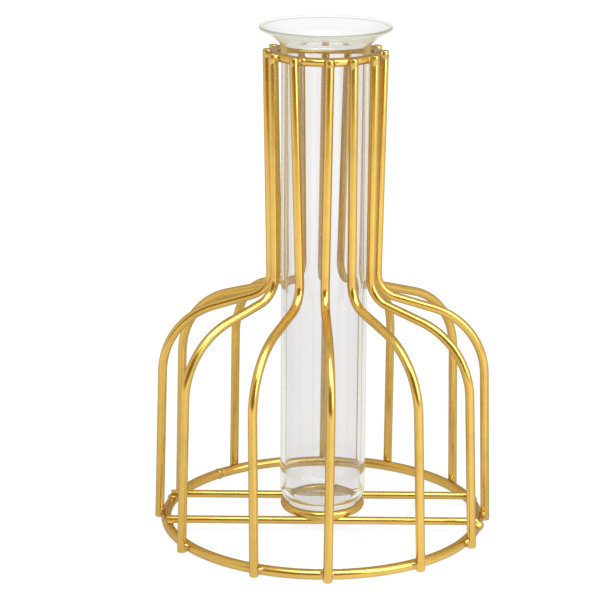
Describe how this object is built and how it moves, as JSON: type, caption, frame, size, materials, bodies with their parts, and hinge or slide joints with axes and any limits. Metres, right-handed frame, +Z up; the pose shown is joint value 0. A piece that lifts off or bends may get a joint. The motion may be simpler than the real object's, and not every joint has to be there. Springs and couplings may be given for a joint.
{
  "type": "hydroponic vase",
  "caption": "Flared glass tube standing in a bottle-shaped cage of gold wire ribs, for a cut stem or a plant rooting in water.",
  "frame": {"origin": "on the floor, on the axis of the glass tube", "axes": "+Z up along the tube, -Y towards the viewer of the picture, X along the two crossbars"},
  "size_m": [0.1186, 0.1186, 0.1766],
  "materials": {
    "gold_lacquered_steel": "satin gold lacquer over steel wire",
    "clear_glass": "clear blown borosilicate glass, fire polished"
  },
  "bodies": {
    "stand": {"neck_ring": "gold_lacquered_steel", "base_ring": "gold_lacquered_steel", "seat_ring": "gold_lacquered_steel", "front_crossbar": "gold_lacquered_steel", "back_crossbar": "gold_lacquered_steel", "rib_01": "gold_lacquered_steel", "rib_02": "gold_lacquered_steel", "rib_03": "gold_lacquered_steel", "rib_04": "gold_lacquered_steel", "rib_05": "gold_lacquered_steel", "rib_06": "gold_lacquered_steel", "rib_07": "gold_lacquered_steel", "rib_08": "gold_lacquered_steel", "rib_09": "gold_lacquered_steel", "rib_10": "gold_lacquered_steel", "rib_11": "gold_lacquered_steel", "rib_12": "gold_lacquered_steel"},
    "tube": {"glass_tube": "clear_glass"}
  },
  "joints": [
    {"name": "tube_lift", "type": "slide", "parent": "stand", "child": "tube", "axis": [0, 0, 1], "range_m": [0, 0.175]}
  ]
}
